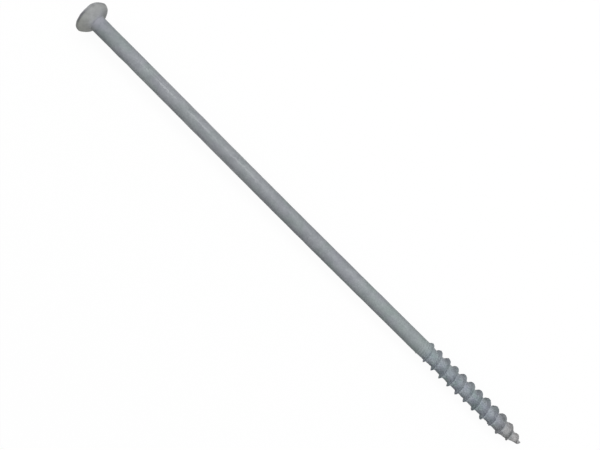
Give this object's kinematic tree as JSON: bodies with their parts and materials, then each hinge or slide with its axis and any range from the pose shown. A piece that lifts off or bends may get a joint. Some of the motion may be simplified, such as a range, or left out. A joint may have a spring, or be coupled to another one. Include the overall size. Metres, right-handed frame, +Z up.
{
  "type": "gutter screw",
  "caption": "Long galvanised wood screw with a flat countersunk head, a six-lobe drive recess, a plain shank and a coarse thread at the tip; it fixes a gutter to the fascia behind it.",
  "frame": {"origin": "on the surface that the screw lies on, below the middle of its length", "axes": "+X runs from the head to the point, +Z is up; the screw lies on the rim of its head and on its last full crest, so its axis falls by about 0.8 degrees towards the point"},
  "size_m": [0.178, 0.0108, 0.0108],
  "materials": {
    "galvanised_steel": "matt hot-dip zinc"
  },
  "bodies": {
    "root": {"gutter_screw": "galvanised_steel"}
  },
  "joints": []
}
